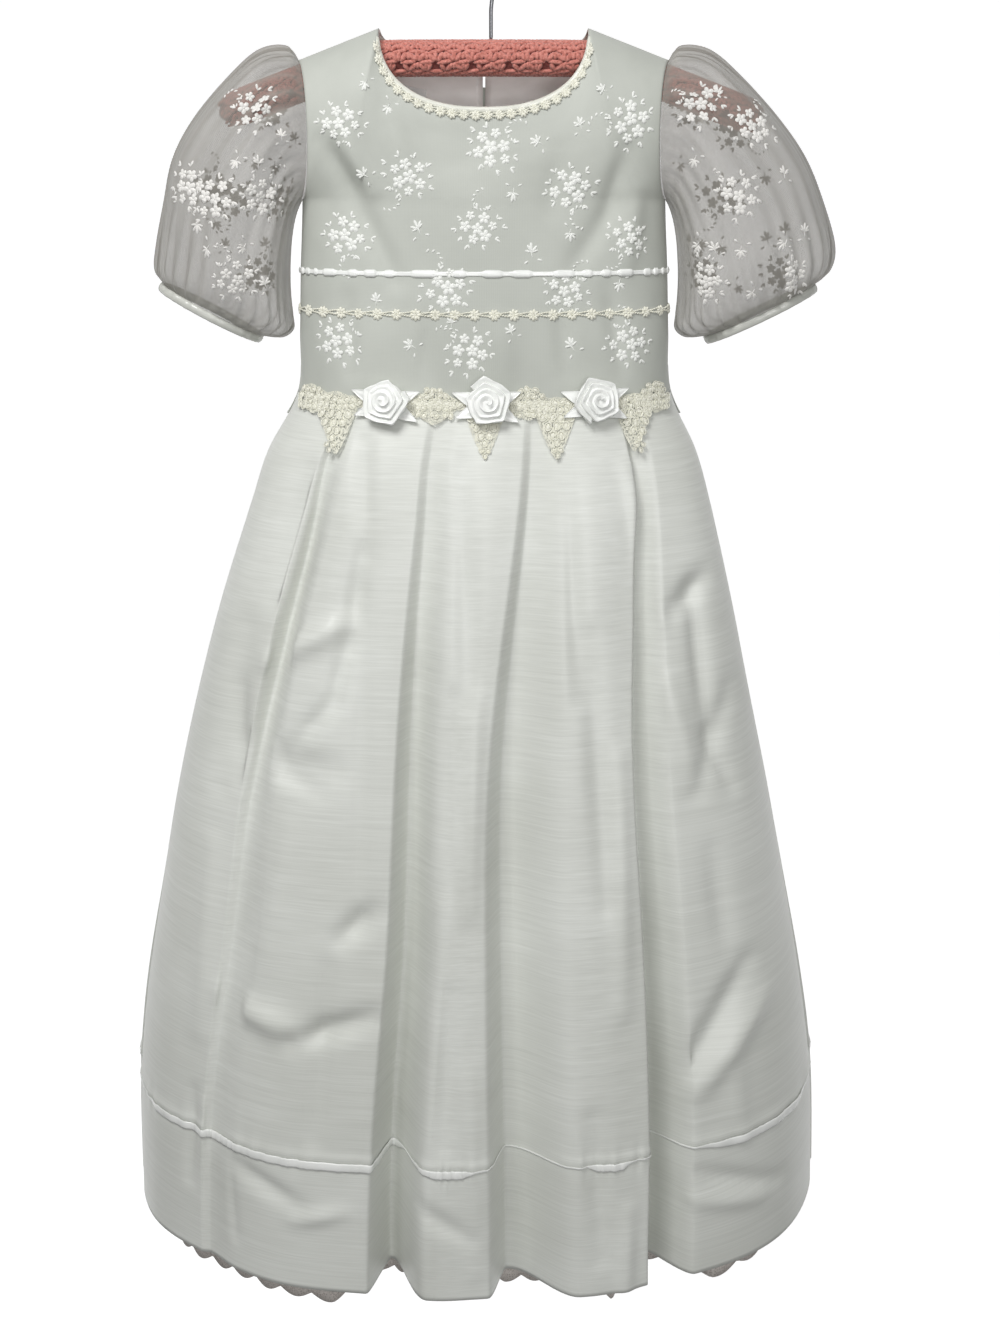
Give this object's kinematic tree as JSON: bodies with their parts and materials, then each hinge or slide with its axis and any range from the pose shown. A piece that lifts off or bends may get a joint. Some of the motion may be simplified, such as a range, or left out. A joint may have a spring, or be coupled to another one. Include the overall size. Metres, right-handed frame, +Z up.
{
  "type": "girl's first communion dress on a padded hanger",
  "caption": "Short-sleeved first communion dress with puff sleeves, lace, ribbon roses and a pleated skirt, on a crochet-covered padded hanger.",
  "frame": {"origin": "underside of the hanger's wire hook at its top, where the rail carries it", "axes": "+Z up, the dress faces -Y, the wearer's left is +X"},
  "size_m": [0.6571, 0.3214, 1.1737],
  "materials": {
    "embroidered_organza": "white embroidered organza over an opaque lining",
    "sheer_organza": "sheer embroidered organza",
    "shantung": "ivory shantung with fine slubs",
    "satin": "white satin ribbon",
    "ivory_lace": "ivory corded lace",
    "petticoat_net": "grey-white petticoat net and lace",
    "crochet_yarn": "pink crocheted yarn",
    "steel_wire": "plain steel wire",
    "pearl_button": "pearl white"
  },
  "bodies": {
    "root": {"hanger_cover": "crochet_yarn", "hanger_hook": "steel_wire", "bodice_front": "embroidered_organza", "bodice_back_left": "embroidered_organza", "bodice_back_right": "embroidered_organza", "back_placket": "embroidered_organza", "button_1": "pearl_button", "button_2": "pearl_button", "button_3": "pearl_button", "button_4": "pearl_button", "button_5": "pearl_button", "neck_binding_front": "satin", "neck_binding_back_left": "satin", "neck_binding_back_right": "satin", "neck_lace_front": "ivory_lace", "neck_lace_back_left": "ivory_lace", "neck_lace_back_right": "ivory_lace", "neck_label": "satin", "chest_ribbon": "satin", "chest_daisy_lace": "ivory_lace", "sleeve_left": "sheer_organza", "sleeve_right": "sheer_organza", "cuff_left": "satin", "cuff_right": "satin", "waist_lace": "ivory_lace", "rose_1": "satin", "rose_2": "satin", "rose_3": "satin", "rose_leaves_1": "satin", "rose_leaves_2": "satin", "rose_leaves_3": "satin", "skirt_front": "shantung", "skirt_back": "shantung", "hem_ribbon_front": "satin", "hem_ribbon_back": "satin", "underskirt_front": "petticoat_net", "underskirt_back": "petticoat_net", "underskirt_lace_front": "petticoat_net", "underskirt_lace_back": "petticoat_net", "sash_left": "shantung", "sash_right": "shantung", "sash_knot": "shantung", "sash_loop_left": "shantung", "sash_loop_right": "shantung", "sash_tail_left": "shantung", "sash_tail_right": "shantung"}
  },
  "joints": []
}
